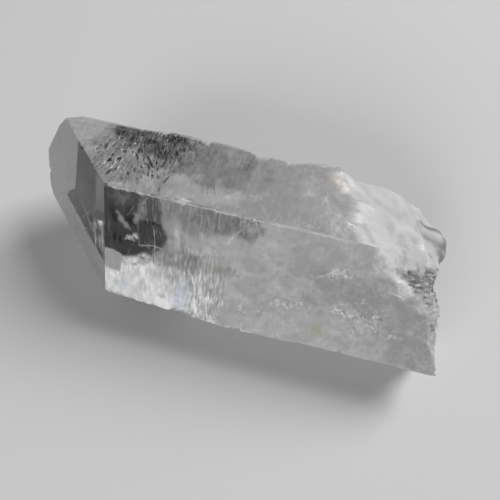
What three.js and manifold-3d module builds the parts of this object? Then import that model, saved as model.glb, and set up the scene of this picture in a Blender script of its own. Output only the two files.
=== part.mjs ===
// Trigonic quartz crystal: one loose natural point, etched at the tip and broken at its root end.
// Millimetres, +Z up. The long axis lies along X with the tip towards -X, and the crystal lies on
// one prism face. The origin is on that face's plane, under the middle of the bounding box.
//
// The prism's six faces are numbered 1 to 6 round the axis in steps of 60 degrees: face 1 is
// level on top, face 2 looks to the front and up, face 3 to the front and down, face 4 is the one
// it lies on, face 5 looks back and down, and face 6 back and up. The ridge is the edge between
// faces 1 and 2. Stations are distances along X from the shoulder, where the biggest tip face
// meets the ridge, and every point is first worked out from that shoulder.

import * as THREE from 'three';
import { mergeVertices } from 'three/addons/utils/BufferGeometryUtils.js';
import loadManifold from 'manifold-3d';

// ---- Driving dimensions: the prism ----

const WIDTH_1 = 13.2; // widths of four faces in cross-section; the other two close the hexagon
const WIDTH_2 = 23.0;
const WIDTH_3 = 10.6;
const WIDTH_6 = 22.9;
const WIDTH_5 = WIDTH_2 + WIDTH_3 - WIDTH_6;
const WIDTH_4 = WIDTH_1 + WIDTH_2 - WIDTH_5;
const FACE_TURN = 60; // degrees from each prism face to the next
const ROOT_STATION = 66; // where the uncut prism ends, beyond every broken surface

// ---- Driving dimensions: the tip ----

const TIP_FACE_LEAN = 38.21; // degrees between a tip face and its prism face, as in all quartz
const TIP_STATIONS = { 2: 0, 3: 1.2, 4: -8, 5: -0.2, 6: -11 }; // where each tip face starts

// Worn corners of the tip, each cut square to a direction that points out of the corner.
const WORN_CORNERS = [
  { at: [-12.2, 11.3, -0.3], out: [-0.55, 0.62, 0.56] }, // top corner of the big tip face
  { at: [-10.4, 12.1, -0.2], out: [-0.3, 0.7, 0.65] },
  { at: [-19.5, 7.2, -18.4], out: [-0.86, -0.25, -0.44] }, // lower end of the chisel edge
  { at: [0.2, -10.7, -18.8], out: [-0.35, -0.8, -0.48] }, // front corner below the shoulder
];

// ---- Driving dimensions: ledges along the edges ----

// Each ledge lowers one prism face between two stations: how far it lowers it at either end.
const LEDGES = [
  { face: 6, from: -22, to: 5.4, depths: [0.75, 0.55] },
  { face: 6, from: 20.5, to: 32.6, depths: [0.65, 0.5] },
  { face: 6, from: 37.2, to: 70, depths: [0.4, 0.9] },
  { face: 3, from: -24, to: 23, depths: [2.0, 0.05] },
  { face: 3, from: 26.5, to: 34.8, depths: [0.3, 0.5] },
  { face: 3, from: 34.8, to: 70, depths: [0.8, 1.5] },
  { face: 5, from: 12, to: 31, depths: [0.35, 0.35] },
  { face: 2, from: 41, to: 70, depths: [0.12, 0.35] },
];
const LEDGE_BLOCK = 20; // how far each cutting block reaches outwards

// Growth terraces: shallow steps that lower part of a face, each turned a little on the face.
const TERRACES = [
  { face: 6, from: 9, to: 29, start: 5, end: 19, depth: 0.28, turn: 3 },
  { face: 6, from: 14, to: 24, start: 8, end: 17, depth: 0.5, turn: -6 },
  { face: 5, from: -30, to: 9, start: -10, end: 4.5, depth: 0.3, turn: 5 },
  { face: 3, from: 7, to: 19, start: 5, end: 7.6, depth: 0.25, turn: -4 },
  { face: 3, from: 38, to: 70, start: 4, end: 20, depth: 0.35, turn: 2 },
  { face: 6, from: -30, to: -1, start: -10, end: 10, depth: 0.3, turn: -4 },
];

// ---- Driving dimensions: the broken root end ----

// Each break is a plane that crosses the line of the ridge at a station.
const BREAKS = [
  { station: 45, out: [0.596, 0.422, 0.683] }, // milky slope down to the back
  { station: 51.5, out: [0.921, 0.096, 0.377] }, // steep hackly face
  { station: 58.6, out: [1, 0.13, 0] }, // nearly square root end
];
const BREAK_SWELLS = [
  { y: 17, z: -9.5, reach: 5.2, rise: 4.4 }, // the milky mass bulges above its slope
  { y: 3, z: -3, reach: 3.2, rise: 1.2 },
  { y: 22.5, z: -19.5, reach: 3.4, rise: 1.7 },
];
const BREAK_DOMES = [
  { y: 19.6, z: -23.6, radius: 4.2, rise: 3.0 }, // the knob at the back of the root end
  { y: 11.4, z: -14.2, radius: 3.3, rise: 2.3 },
  { y: 18.6, z: -14.6, radius: 2.5, rise: 1.4 },
  { y: 6.2, z: -7.6, radius: 2.8, rise: 1.3 },
];
const BREAK_FACETS = [
  { cell: 4.6, rise: 0.7, tilt: 0.24, seed: 31 }, // splintered facets with small cliffs between
  { cell: 2.3, rise: 0.3, tilt: 0.22, seed: 32 },
];
const BREAK_NOISE = { cell: 6.5, rise: 0.6, seed: 3 };
const BREAK_CELL = 1.0; // size of the mesh on the broken surface
const BREAK_MARGIN = 3; // how far the cutting block overlaps the prism all round

// Crusts that stand a little proud of the top edge, just before the break.
const LUMPS = [
  { at: [34.4, 11.9, -0.75], radius: 1.6, stretch: [1.3, 0.75, 0.62], seed: 6 },
  { at: [36.6, 10.6, -0.7], radius: 1.4, stretch: [1.2, 1.1, 0.68], seed: 12 },
  { at: [38.2, 8.4, -0.6], radius: 1.1, stretch: [1.1, 1.3, 0.7], seed: 15 },
  { at: [33.2, 9.6, -0.5], radius: 0.9, stretch: [1.5, 1.0, 0.68], seed: 18 },
];

// ---- Driving dimensions: etching ----

// Bites along the edges: each row follows the edge where a prism face starts.
const BITES = [
  { face: 2, from: 0.8, to: 11.5, count: 11, radius: 1.5, depth: 0.42, seed: 21 }, // the ridge
  { face: 2, from: 14, to: 42, count: 9, radius: 0.8, depth: 0.16, seed: 22 },
  { face: 1, from: -7, to: 32, count: 22, radius: 1.2, depth: 0.62, seed: 23 },
  { face: 3, from: 4, to: 57, count: 15, radius: 1.1, depth: 0.5, seed: 24 },
  { face: 6, from: 4, to: 48, count: 10, radius: 1.0, depth: 0.3, seed: 25 },
  { face: 4, from: 4, to: 54, count: 8, radius: 0.9, depth: 0.25, seed: 26 },
];
const TIP_CHIPS = [
  { at: [-19.97, 9.4, -15.1], radius: 0.9 }, // along the chisel edge
  { at: [-20.1, 8.1, -17.4], radius: 0.7 },
  { at: [-20.2, 11.2, -12.1], radius: 0.8 },
  { at: [-6.9, 6.2, 0.5], radius: 0.9 }, // between the big tip face and the top face
  { at: [-3.6, 3.2, 0.4], radius: 0.7 },
  { at: [-10.2, 9.2, 0.5], radius: 0.8 },
  { at: [-0.2, -4.4, -7.0], radius: 0.5 }, // down the shoulder
  { at: [-7.8, -4.6, -19.3], radius: 0.7 }, // lower left edge
];
const GRAIN_PITS = { count: 104, from: -7.5, to: 10.5, inner: 1.2, outer: 11.8, seed: 40 };
const GRAIN_PIT_SIZE = { length: 1.25, width: 0.4, depth: 0.38 };
const TRIGONS = [
  { face: 2, along: 5.5, across: 9.5, radius: 1.0 },
  { face: 2, along: 8.2, across: 13.2, radius: 1.3 },
  { face: 2, along: 9.4, across: 10.2, radius: 0.7 },
  { face: 2, along: 12.8, across: 12.4, radius: 0.9 },
  { face: 3, along: 6.5, across: 5.2, radius: 0.8 },
  { face: 3, along: 9.6, across: 3.4, radius: 0.6 },
  { face: 5, along: 7.0, across: 4.8, radius: 1.0 },
  { face: 5, along: 10.4, across: 6.4, radius: 0.7 },
];
const TRIGON_DEPTH_RATIO = 0.3;

// Striations: shallow V grooves across a prism face, square to the long axis.
const STRIATIONS = [
  { face: 2, from: 3, to: 34, count: 13, seed: 51 },
  { face: 3, from: 4, to: 50, count: 12, seed: 52 },
  { face: 5, from: 3, to: 50, count: 12, seed: 53 },
  { face: 6, from: 4, to: 40, count: 14, seed: 54 },
];
const STRIATION_WIDTH = 0.5;
const STRIATION_DEPTH = 0.11;

const HUGE = 120; // side of the blocks that cut whole corners away

const QUARTZ = new THREE.MeshStandardMaterial({ color: 0xc9cbd0, roughness: 0.18, metalness: 0 });

const wasm = await loadManifold();
wasm.setup();

// ---- Solids and geometries ----

function toSolid(geometry, matrix = new THREE.Matrix4()) {
  const bare = geometry.clone().applyMatrix4(matrix);
  bare.deleteAttribute('normal');
  bare.deleteAttribute('uv');
  const merged = mergeVertices(bare, 1e-5);
  const vertProperties = new Float32Array(merged.attributes.position.array);
  const triVerts = new Uint32Array(merged.index.array);
  return new wasm.Manifold(new wasm.Mesh({ numProp: 3, vertProperties, triVerts }));
}

function toGeometry(solid) {
  const mesh = solid.getMesh();
  const geometry = new THREE.BufferGeometry();
  geometry.setAttribute('position', new THREE.BufferAttribute(mesh.vertProperties, 3));
  geometry.setIndex(new THREE.BufferAttribute(mesh.triVerts, 1));
  return geometry;
}

// ---- The prism's own directions ----

function radians(degrees) {
  return THREE.MathUtils.degToRad(degrees);
}

function prismNormal(face) {
  const turn = radians(FACE_TURN * (face - 1));
  return new THREE.Vector3(0, -Math.sin(turn), Math.cos(turn));
}

function acrossFace(face) {
  const normal = prismNormal(face);
  return new THREE.Vector3(0, -normal.z, normal.y);
}

function tipNormal(face) {
  const lean = radians(TIP_FACE_LEAN);
  const normal = prismNormal(face).multiplyScalar(Math.cos(lean));
  normal.x = -Math.sin(lean);
  return normal;
}

// Walks round the cross-section from the ridge, and gives the corner where each face starts.
function sectionCorners() {
  const widths = { 1: WIDTH_1, 2: WIDTH_2, 3: WIDTH_3, 4: WIDTH_4, 5: WIDTH_5, 6: WIDTH_6 };
  const corners = {};
  const corner = new THREE.Vector3(0, 0, 0);
  for (const face of [2, 3, 4, 5, 6, 1]) {
    corners[face] = corner.clone();
    corner.addScaledVector(acrossFace(face), widths[face]);
  }
  return corners;
}

const CORNERS = sectionCorners();

// A frame that lies on a face: its X runs along the crystal, its Z points out of the face.
function faceFrame(point, along, normal) {
  const side = new THREE.Vector3().crossVectors(normal, along);
  return new THREE.Matrix4().makeBasis(along, side, normal).setPosition(point);
}

function prismPoint(face, station, across) {
  const point = CORNERS[face].clone().addScaledVector(acrossFace(face), across);
  point.x = station;
  return point;
}

function prismFrame(face, station, across) {
  const along = new THREE.Vector3(1, 0, 0);
  return faceFrame(prismPoint(face, station, across), along, prismNormal(face));
}

// ---- Noise, the same on every run ----

function cellValue(i, j, seed) {
  const wave = Math.sin(i * 127.1 + j * 311.7 + seed * 74.7) * 43758.5453;
  return 2 * (wave - Math.floor(wave)) - 1;
}

function smoothNoise(u, v, seed) {
  const i = Math.floor(u);
  const j = Math.floor(v);
  const a = THREE.MathUtils.smoothstep(u - i, 0, 1);
  const b = THREE.MathUtils.smoothstep(v - j, 0, 1);
  const near = THREE.MathUtils.lerp(cellValue(i, j, seed), cellValue(i + 1, j, seed), a);
  const far = THREE.MathUtils.lerp(cellValue(i, j + 1, seed), cellValue(i + 1, j + 1, seed), a);
  return THREE.MathUtils.lerp(near, far, b);
}

// Splintered relief: the nearest of a scatter of points sets each place's height and tilt.
function facetRelief(y, z, { cell, rise, tilt, seed }) {
  const i0 = Math.floor(y / cell);
  const j0 = Math.floor(z / cell);
  let nearest = Infinity;
  let height = 0;
  for (let i = i0 - 1; i <= i0 + 1; i += 1) {
    for (let j = j0 - 1; j <= j0 + 1; j += 1) {
      const dy = y - cell * (i + 0.5 + 0.45 * cellValue(i, j, seed));
      const dz = z - cell * (j + 0.5 + 0.45 * cellValue(i, j, seed + 100));
      const distance = dy * dy + dz * dz;
      if (distance < nearest) {
        const slope = dy * cellValue(i, j, seed + 300) + dz * cellValue(i, j, seed + 400);
        nearest = distance;
        height = rise * cellValue(i, j, seed + 200) + tilt * slope;
      }
    }
  }
  return height;
}

// A list of numbers between 0 and 1 that is the same on every run.
function drawNumbers(seed, count) {
  THREE.MathUtils.seededRandom(seed);
  return Array.from({ length: count }, () => THREE.MathUtils.seededRandom());
}

// ---- Cutting ----

// Removes everything beyond a plane.
function cutBeyond(solid, point, normal) {
  const block = new THREE.BoxGeometry(HUGE, HUGE, HUGE);
  const turn = new THREE.Quaternion().setFromUnitVectors(new THREE.Vector3(0, 0, 1), normal);
  const centre = point.clone().addScaledVector(normal, HUGE / 2);
  const place = new THREE.Matrix4().compose(centre, turn, new THREE.Vector3(1, 1, 1));
  return solid.subtract(toSolid(block, place));
}

function prism() {
  const outline = [2, 3, 4, 5, 6, 1].map((face) => new THREE.Vector2(CORNERS[face].y, CORNERS[face].z));
  const depth = ROOT_STATION + HUGE / 2;
  const geometry = new THREE.ExtrudeGeometry(new THREE.Shape(outline), { depth, bevelEnabled: false });
  const lengthwise = new THREE.Matrix4().makeBasis(
    new THREE.Vector3(0, 1, 0),
    new THREE.Vector3(0, 0, 1),
    new THREE.Vector3(1, 0, 0),
  );
  lengthwise.setPosition(-HUGE / 2, 0, 0);
  return toSolid(geometry, lengthwise);
}

function cutTipFaces(solid) {
  let cut = solid;
  for (const [face, station] of Object.entries(TIP_STATIONS)) {
    cut = cutBeyond(cut, prismPoint(face, station, 0), tipNormal(face));
  }
  return cut;
}

function wearCorners(solid) {
  let worn = solid;
  for (const corner of WORN_CORNERS) {
    const normal = new THREE.Vector3(...corner.out).normalize();
    worn = cutBeyond(worn, new THREE.Vector3(...corner.at), normal);
  }
  return worn;
}

function ledgeBlock({ face, from, to, depths }) {
  const length = to - from;
  const tilt = Math.atan2(depths[0] - depths[1], length);
  const block = new THREE.BoxGeometry(length, HUGE, LEDGE_BLOCK);
  block.translate(0, 0, LEDGE_BLOCK / 2);
  const frame = prismFrame(face, (from + to) / 2, 0);
  frame.multiply(new THREE.Matrix4().makeTranslation(0, 0, -(depths[0] + depths[1]) / 2));
  frame.multiply(new THREE.Matrix4().makeRotationY(-tilt));
  return toSolid(block, frame);
}

function terraceBlock({ face, from, to, start, end, depth, turn }) {
  const block = new THREE.BoxGeometry(to - from, end - start, LEDGE_BLOCK);
  block.translate(0, 0, LEDGE_BLOCK / 2 - depth);
  block.rotateZ(radians(turn));
  return toSolid(block, prismFrame(face, (from + to) / 2, (start + end) / 2));
}

// ---- The broken end ----

// Station of the broken surface over each point of the cross-section.
function breakStation(y, z) {
  const planes = BREAKS.map(({ station, out }) => station - (out[1] * y + out[2] * z) / out[0]);
  let x = Math.min(...planes);
  for (const { y: y0, z: z0, reach, rise } of BREAK_SWELLS) {
    x += rise * Math.exp(-((y - y0) ** 2 + (z - z0) ** 2) / (2 * reach * reach));
  }
  for (const { y: y0, z: z0, radius, rise } of BREAK_DOMES) {
    const nearness = 1 - ((y - y0) ** 2 + (z - z0) ** 2) / (radius * radius);
    x += rise * Math.sqrt(Math.max(nearness, 0));
  }
  for (const facets of BREAK_FACETS) {
    x += facetRelief(y, z, facets);
  }
  const { cell, rise, seed } = BREAK_NOISE;
  return x + rise * smoothNoise(y / cell, z / cell, seed);
}

function breakBlock() {
  const ys = Object.values(CORNERS).map((corner) => corner.y);
  const zs = Object.values(CORNERS).map((corner) => corner.z);
  const width = Math.max(...ys) - Math.min(...ys) + 2 * BREAK_MARGIN;
  const height = Math.max(...zs) - Math.min(...zs) + 2 * BREAK_MARGIN;
  const columns = Math.round(width / BREAK_CELL);
  const rows = Math.round(height / BREAK_CELL);
  const block = new THREE.BoxGeometry(HUGE, height, width, 1, rows, columns);
  block.translate(
    ROOT_STATION + HUGE / 2,
    (Math.max(...zs) + Math.min(...zs)) / 2,
    -(Math.max(...ys) + Math.min(...ys)) / 2,
  );
  block.rotateX(radians(90));
  const position = block.attributes.position;
  for (let i = 0; i < position.count; i += 1) {
    if (position.getX(i) < ROOT_STATION + HUGE / 2) {
      position.setX(i, breakStation(position.getY(i), position.getZ(i)));
    }
  }
  return toSolid(block);
}

function lump({ at, radius, stretch, seed }) {
  const ball = new THREE.IcosahedronGeometry(radius, 2);
  const position = ball.attributes.position;
  const point = new THREE.Vector3();
  for (let i = 0; i < position.count; i += 1) {
    point.fromBufferAttribute(position, i);
    const swell = 1 + 0.12 * smoothNoise(point.x + point.z, point.y - point.z, seed);
    position.setXYZ(i, ...point.multiplyScalar(swell).toArray());
  }
  ball.scale(...stretch);
  ball.translate(...at);
  return toSolid(ball);
}

// ---- Etching ----

// Small bites out of a prism edge, where etching and knocks have eaten into it.
function biteTools({ face, from, to, count, radius, depth, seed }) {
  const draws = drawNumbers(seed, 2 * count);
  const before = face === 1 ? 6 : face - 1;
  const outwards = prismNormal(face).add(prismNormal(before)).normalize();
  return Array.from({ length: count }, (_, i) => {
    const size = radius * (0.55 + 0.75 * draws[i]);
    const station = from + ((to - from) * (i + 0.8 * draws[count + i])) / count;
    const sink = size - depth * (0.6 + 0.8 * draws[count + i]);
    const centre = prismPoint(face, station, 0).addScaledVector(outwards, sink);
    const ball = new THREE.IcosahedronGeometry(size, 1);
    ball.rotateZ(radians(FACE_TURN * i));
    ball.translate(...centre.toArray());
    return toSolid(ball);
  });
}

function chipTool({ at, radius }) {
  const ball = new THREE.IcosahedronGeometry(radius, 1);
  ball.translate(...at);
  return toSolid(ball);
}

// Slanting pits like grains of rice, thickest near the tip of face 1.
function grainPitTools() {
  const { count, from, to, inner, outer, seed } = GRAIN_PITS;
  const { length, width, depth } = GRAIN_PIT_SIZE;
  const draws = drawNumbers(seed, 4 * count);
  return Array.from({ length: count }, (_, i) => {
    const [a, b, c, d] = draws.slice(4 * i, 4 * i + 4);
    const size = 0.6 + 0.8 * c;
    const grain = new THREE.OctahedronGeometry(1);
    grain.scale(length * size, width * size, depth * size);
    grain.rotateZ(radians(55 + 60 * d));
    const frame = prismFrame(1, from + (to - from) * a, outer - (outer - inner) * b);
    return toSolid(grain, frame);
  });
}

// Three-sided pits on the tip faces, each pointing away from the tip.
function trigonTools() {
  return TRIGONS.map(({ face, along, across, radius }) => {
    const depth = radius * TRIGON_DEPTH_RATIO;
    const cone = new THREE.ConeGeometry(2 * radius, 2 * depth, 3);
    cone.rotateX(radians(-90));
    const normal = tipNormal(face);
    const downFace = new THREE.Vector3().crossVectors(acrossFace(face), normal);
    const point = prismPoint(face, TIP_STATIONS[face], across).addScaledVector(downFace, along);
    return toSolid(cone, faceFrame(point, downFace, normal));
  });
}

function striationTools() {
  const tools = [];
  for (const { face, from, to, count, seed } of STRIATIONS) {
    const draws = drawNumbers(seed, 2 * count);
    for (let i = 0; i < count; i += 1) {
      const groove = new THREE.CylinderGeometry(1, 1, HUGE, 4);
      const size = 0.6 + 0.8 * draws[count + i];
      groove.scale(STRIATION_WIDTH * size, 1, STRIATION_DEPTH * size);
      const station = from + (to - from) * draws[i];
      tools.push(toSolid(groove, prismFrame(face, station, 0)));
    }
  }
  return tools;
}

function subtractAll(solid, tools) {
  return tools.reduce((cut, tool) => cut.subtract(tool), solid);
}

// ---- The crystal ----

function crystalSolid() {
  let solid = wearCorners(cutTipFaces(prism()));
  solid = subtractAll(solid, LEDGES.map(ledgeBlock));
  solid = subtractAll(solid, TERRACES.map(terraceBlock));
  solid = subtractAll(solid, striationTools());
  solid = solid.subtract(breakBlock());
  solid = LUMPS.map(lump).reduce((whole, piece) => whole.add(piece), solid);
  solid = subtractAll(solid, BITES.flatMap(biteTools));
  solid = subtractAll(solid, TIP_CHIPS.map(chipTool));
  solid = subtractAll(solid, grainPitTools());
  return subtractAll(solid, trigonTools());
}

function crystalMesh() {
  const geometry = toGeometry(crystalSolid());
  geometry.computeBoundingBox();
  const { min, max } = geometry.boundingBox;
  geometry.translate(-(min.x + max.x) / 2, -(min.y + max.y) / 2, -min.z);
  geometry.computeVertexNormals();
  const mesh = new THREE.Mesh(geometry, QUARTZ);
  mesh.name = 'quartz_crystal';
  return mesh;
}

const specimen = new THREE.Group();
specimen.add(crystalMesh());

export default specimen;
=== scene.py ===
"""Trigonic quartz crystal, a loose natural point on a pale floor.

The crystal's shape is a field: a function that is below zero inside the stone. Flat faces, ledges,
etch pits, worn edges and the splintered root end all lower or raise that field, and contour()
turns it into one closed mesh with crisp edges. All shape sizes are in millimetres, measured from
the shoulder, the point where the biggest tip face, the top face and the front face meet: X runs
along the crystal to its root end, Y away from the viewer and Z up, as in the CAD part.
"""

import math

import bpy
import numpy as np
from mathutils import Matrix, Vector


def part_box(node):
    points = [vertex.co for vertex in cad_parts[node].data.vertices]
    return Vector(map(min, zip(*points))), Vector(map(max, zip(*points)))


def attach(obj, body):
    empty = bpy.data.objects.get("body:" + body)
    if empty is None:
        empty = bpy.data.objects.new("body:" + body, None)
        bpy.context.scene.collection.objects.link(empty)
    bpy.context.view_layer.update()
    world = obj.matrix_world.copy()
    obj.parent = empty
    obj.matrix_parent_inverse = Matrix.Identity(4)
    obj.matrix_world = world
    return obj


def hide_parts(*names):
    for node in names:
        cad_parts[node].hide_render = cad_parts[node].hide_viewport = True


MM = 0.001

# ---- The crystal's form ----

# Widths, tip, worn corners, ledges, trigons and the break's planes, facets and noise have the CAD
# part's values. Terraces, swells, domes, crusts, chips, bites, grain pits and striae are in about
# the CAD part's places but are shaped for the looks, and the lobes and splinter steps are only here.
SHOULDER_IN_BOX = (19.96, 11.5, 29.098)  # from the low corner of the CAD's box
WIDTHS = {1: 13.2, 2: 23.0, 3: 10.6, 6: 22.9}  # of the prism faces, in cross-section
WIDTHS[5] = WIDTHS[2] + WIDTHS[3] - WIDTHS[6]  # these two close the hexagon
WIDTHS[4] = WIDTHS[1] + WIDTHS[2] - WIDTHS[5]
FACE_TURN = 60  # degrees from each prism face to the next
WALK = (2, 3, 4, 5, 6, 1)  # the order of the faces round the section, from the ridge
TIP_FACE_LEAN = math.radians(38.21)
TIP_STATIONS = {2: 0.0, 3: 1.2, 4: -8.0, 5: -0.2, 6: -11.0}
WORN_CORNERS = [  # point, direction that points out of the corner
    ((-12.2, 11.3, -0.3), (-0.55, 0.62, 0.56)),
    ((-10.4, 12.1, -0.2), (-0.3, 0.7, 0.65)),
    ((-19.5, 7.2, -18.4), (-0.86, -0.25, -0.44)),
    ((0.2, -10.7, -18.8), (-0.35, -0.8, -0.48)),
]
LEDGES = [  # face, first and last station, depth at each
    (6, -22, 5.4, 0.75, 0.55),
    (6, 20.5, 32.6, 0.65, 0.5),
    (6, 37.2, 70, 0.4, 0.9),
    (3, -24, 23, 2, 0.05),
    (3, 26.5, 34.8, 0.3, 0.5),
    (3, 34.8, 70, 0.8, 1.5),
    (5, 12, 31, 0.35, 0.35),
    (2, 41, 70, 0.12, 0.35),
]
TERRACES = [  # face, stations, across, depth, turn in degrees
    (6, 9, 29, 5, 19, 0.15, 3),
    (6, 14, 24, 8, 17, 0.25, -6),
    (5, -30, 9, -10, 4.5, 0.3, 5),
    (3, 7, 19, 5, 7.6, 0.25, -4),
    (3, 38, 70, 4, 20, 0.35, 2),
    (6, -30, -1, -10, 10, 0.3, -4),
]
BREAKS = [  # station on the line of the ridge, direction out of the stone
    (45, (0.596, 0.422, 0.683)),
    (51.5, (0.921, 0.096, 0.377)),
    (58.6, (1, 0.13, 0)),
]
BREAK_SWELLS = [  # y, z, reach, rise
    (17, -9.5, 5.2, 4.4),
    (3, -3, 3.2, 1.2),
    (22.5, -19.5, 3.4, 1.7),
    (-0.4, -6.4, 2.3, -1.8),
    (2.6, -12.5, 2.4, -0.5),
]
BREAK_DOMES = [(19.6, -23.6, 4.2, 1.2), (18.6, -14.6, 4, 0.8)]  # y, z, radius, rise
LOBES = [  # middle, direction of its length, half length, half width
    ((57, 15.2, -19.6), (-0.24, 0.84, 0.49), 3.6, 2.5),
    ((51.4, 9.2, -11), (0.5, -0.2, -0.84), 3.2, 1.6),
    ((50.8, 4.8, -8.6), (0.9, 0.2, -0.4), 3.3, 1.8),
    ((45.6, 14.4, -9.2), (0.72, 0.28, -0.62), 6.5, 2.4),
    ((44.8, 7.6, -4.2), (0.74, 0.1, -0.66), 5.5, 1.9),
]
BREAK_FACETS = [(4.6, 0.7, 0.24, 31), (2.3, 0.3, 0.22, 32)]  # cell, rise, tilt, seed
BREAK_NOISE = (6.5, 0.6, 3)  # cell, rise, seed
BREAK_STEEPNESS = 0.8  # turns a distance along X into about the distance from the broken surface
BREAK_RIM = (0.3, 2.4, 2.0, 12.0)  # rounding deep down, added at the top, depths it fades between
SLOPE_RIM = (-0.5, 2.5)  # how far past its edge the milky slope gives way to the steeper faces
LOBE_SWELL = (2.2, 0.16, 7)  # cell, share of the lobe's size, seed
LOBE_BLEND = 2.2  # reach of the rounding where a lobe joins the stone
CRUST_SWELL = 0.25
CRUST_BLEND = 0.6
CRUSTS = [  # centre, radius, stretch, seed
    ((33, 12.2, -1), 1.7, (1.7, 1, 0.6), 6),
    ((35.6, 11.6, -1), 2, (1.3, 1.1, 0.56), 12),
    ((37.4, 10.4, -1.2), 1.7, (1.1, 1.2, 0.5), 15),
]
TIP_CHIPS = [  # centre, radius
    ((-19.97, 9.4, -15.1), 0.55),
    ((-20.1, 8.1, -17.4), 0.4),
    ((-20.2, 11.2, -12.1), 0.45),
    ((-6.9, 6.2, 0.5), 0.9),
    ((-3.6, 3.2, 0.4), 0.7),
    ((-10.2, 9.2, 0.5), 0.8),
    ((-0.2, -4.4, -7), 0.5),
    ((-7.8, -4.6, -19.3), 0.7),
]

# ---- Finer relief ----

FINE_FACETS = [(1.25, 0.08, 0.2, 33)]
STEP_TURN = math.atan2(0.6, 0.8)  # from Y towards Z, to the direction across the steps
SPLINTERED = ((-10.5, -8.0), (-3.6, -2.4))  # where the steps begin and end, in that direction
STEP_SPACING = 0.85
STEP_RISE = 0.24
STEP_JITTER = (1.6, 0.35, 37)  # cell, shift, seed
MILKY_SMOOTHNESS = 0.93  # how far the milky slope's facets are worn away
END_SMOOTHNESS = 0.35  # and those of the rest of the break
MILKY_LUMPS = [(4.2, 0.6, 4), (2.0, 0.25, 5), (0.9, 0.1, 6)]  # cell, rise, seed
LUMP_MIDDLE = 0.3  # about the mean of their noise
STEP_SLOPE = 4.5  # width of the slopes at the edges of ledges and terraces
STEP_WANDER = 1.2  # how far those edges stray from a straight line
WANDER_CELLS = (12.0, 6.0)
BITES = [  # the two faces of the edge, first and last station, spacing, depth, how rare, seed
    (1, 2, 0.8, 11.5, 1.8, 0.5, 0.05, 21),
    (1, 2, 12, 42, 1.5, 0.6, 0.25, 22),
    (6, 1, -7, 32, 1.9, 1.1, 0.05, 23),
    (2, 3, 4, 57, 1.9, 1, 0.1, 24),
    (5, 6, 4, 48, 1.7, 0.8, 0.25, 25),
    (3, 4, 4, 54, 1.7, 0.8, 0.25, 26),
]
BITE_FADE = 0.8  # over how many stations a row of bites ends
BITE_LIMIT = 0.8  # share of the listed depth that no bite passes
BITE_UNEVENNESS = (0.7, 0.4, 91)  # cell, share, seed
SMALLEST_BITE = 0.02
# Grain pits of the top face: stations, across, count, length, width, depth, slants in degrees, seed.
GRAINS = [
    (-3, 3, 2.2, 11.6, 130, 0.85, 0.28, 0.14, (98, 114), 40),
    (1, 9, 3.6, 12.2, 120, 0.9, 0.28, 0.14, (44, 60), 41),
    (-11, -2, 1, 9, 70, 0.6, 0.4, 0.1, (60, 150), 42),
    (2, 10, 0.4, 4.2, 60, 1, 0.2, 0.08, (80, 100), 43),
    (9, 24, 0.6, 12.6, 90, 0.8, 0.3, 0.06, (75, 105), 44),
]
GRAIN_SIZES = (0.45, 1.25)  # smallest and largest share of the listed size
GRAIN_CROWDING = (1.3, 1.6)  # a beta distribution's powers, along the stations
TRIGONS = [  # face, along, across, radius
    (2, 5.5, 9.5, 1),
    (2, 8.2, 13.2, 1.3),
    (2, 9.4, 10.2, 0.7),
    (2, 12.8, 12.4, 0.9),
    (3, 6.5, 5.2, 0.8),
    (3, 9.6, 3.4, 0.6),
    (5, 7, 4.8, 1),
    (5, 10.4, 6.4, 0.7),
]
TRIGON_INNER = 0.5  # distance from the middle to a side, as a share of the radius
TRIGON_FLOOR = 0.42  # and how far in from a side the flat floor starts
TRIGON_SLOPE = 0.6
STRIAE = {  # face: count, width, depth, seed
    1: (30, 0.45, 0.012, 50),
    2: (46, 0.5, 0.06, 51),
    3: (34, 0.5, 0.08, 52),
    4: (24, 0.5, 0.05, 55),
    5: (34, 0.5, 0.08, 53),
    6: (40, 0.5, 0.08, 54),
}
STRIAE_STATIONS = (-3, 52)
STRIAE_SIZES = (0.4, 1.4)
STRIAE_WANDER = 0.25
PRISM_SWELL = (4.0, 2.2, 0.03)  # cells along and across, depth
TIP_SWELL = (3.0, 3.0, 0.025)

MAP_PITCH = 0.08  # spacing of the points that a relief map is worked out on
PRISM_STATIONS = (-24.0, 64.0)  # the stretch that the prism's maps cover
PRISM_MARGIN = 3.0  # how far they reach past a face's sides
TIP_REACH = (-3.0, 26.0)
TIP_MARGIN = 6.0
BREAK_LOW = (-16.0, -33.0)  # the corners of the break's map in Y and Z
BREAK_HIGH = (29.0, 4.0)
SECTION_CELL = 0.38  # size of the meshing grid's cells in Y and Z
STATION_CELLS = [  # first station, size of the cells in X from there on; the last row is the end
    (-21.6, 0.38),
    (-6, 0.17),
    (8, 0.34),
    (20, 0.48),
    (36, 0.38),
    (62.4, 0),
]
SECTION_LOW = (-12.8, -30.4)  # the meshing grid's corners in Y and Z
SECTION_HIGH = (26.0, 1.6)


# ---- Directions of the crystal's faces ----


def prism_normal(face):
    turn = math.radians(FACE_TURN * (face - 1))
    return np.array([0.0, -math.sin(turn), math.cos(turn)])


def across_face(face):
    normal = prism_normal(face)
    return np.array([0.0, -normal[2], normal[1]])


def tip_normal(face):
    normal = prism_normal(face) * math.cos(TIP_FACE_LEAN)
    normal[0] = -math.sin(TIP_FACE_LEAN)
    return normal


def section_corners():
    """The corner of the cross-section where each face starts."""
    corners = {}
    corner = np.zeros(3)
    for face in WALK:
        corners[face] = corner.copy()
        corner = corner + across_face(face) * WIDTHS[face]
    return corners


CORNERS = section_corners()


# ---- Noise, the same on every run ----


def cell_value(i, j, seed):
    """A fixed random number between -1 and 1 for each cell of a grid."""
    wave = np.sin(i * 127.1 + j * 311.7 + seed * 74.7) * 43758.5453
    return 2.0 * (wave - np.floor(wave)) - 1.0


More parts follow.
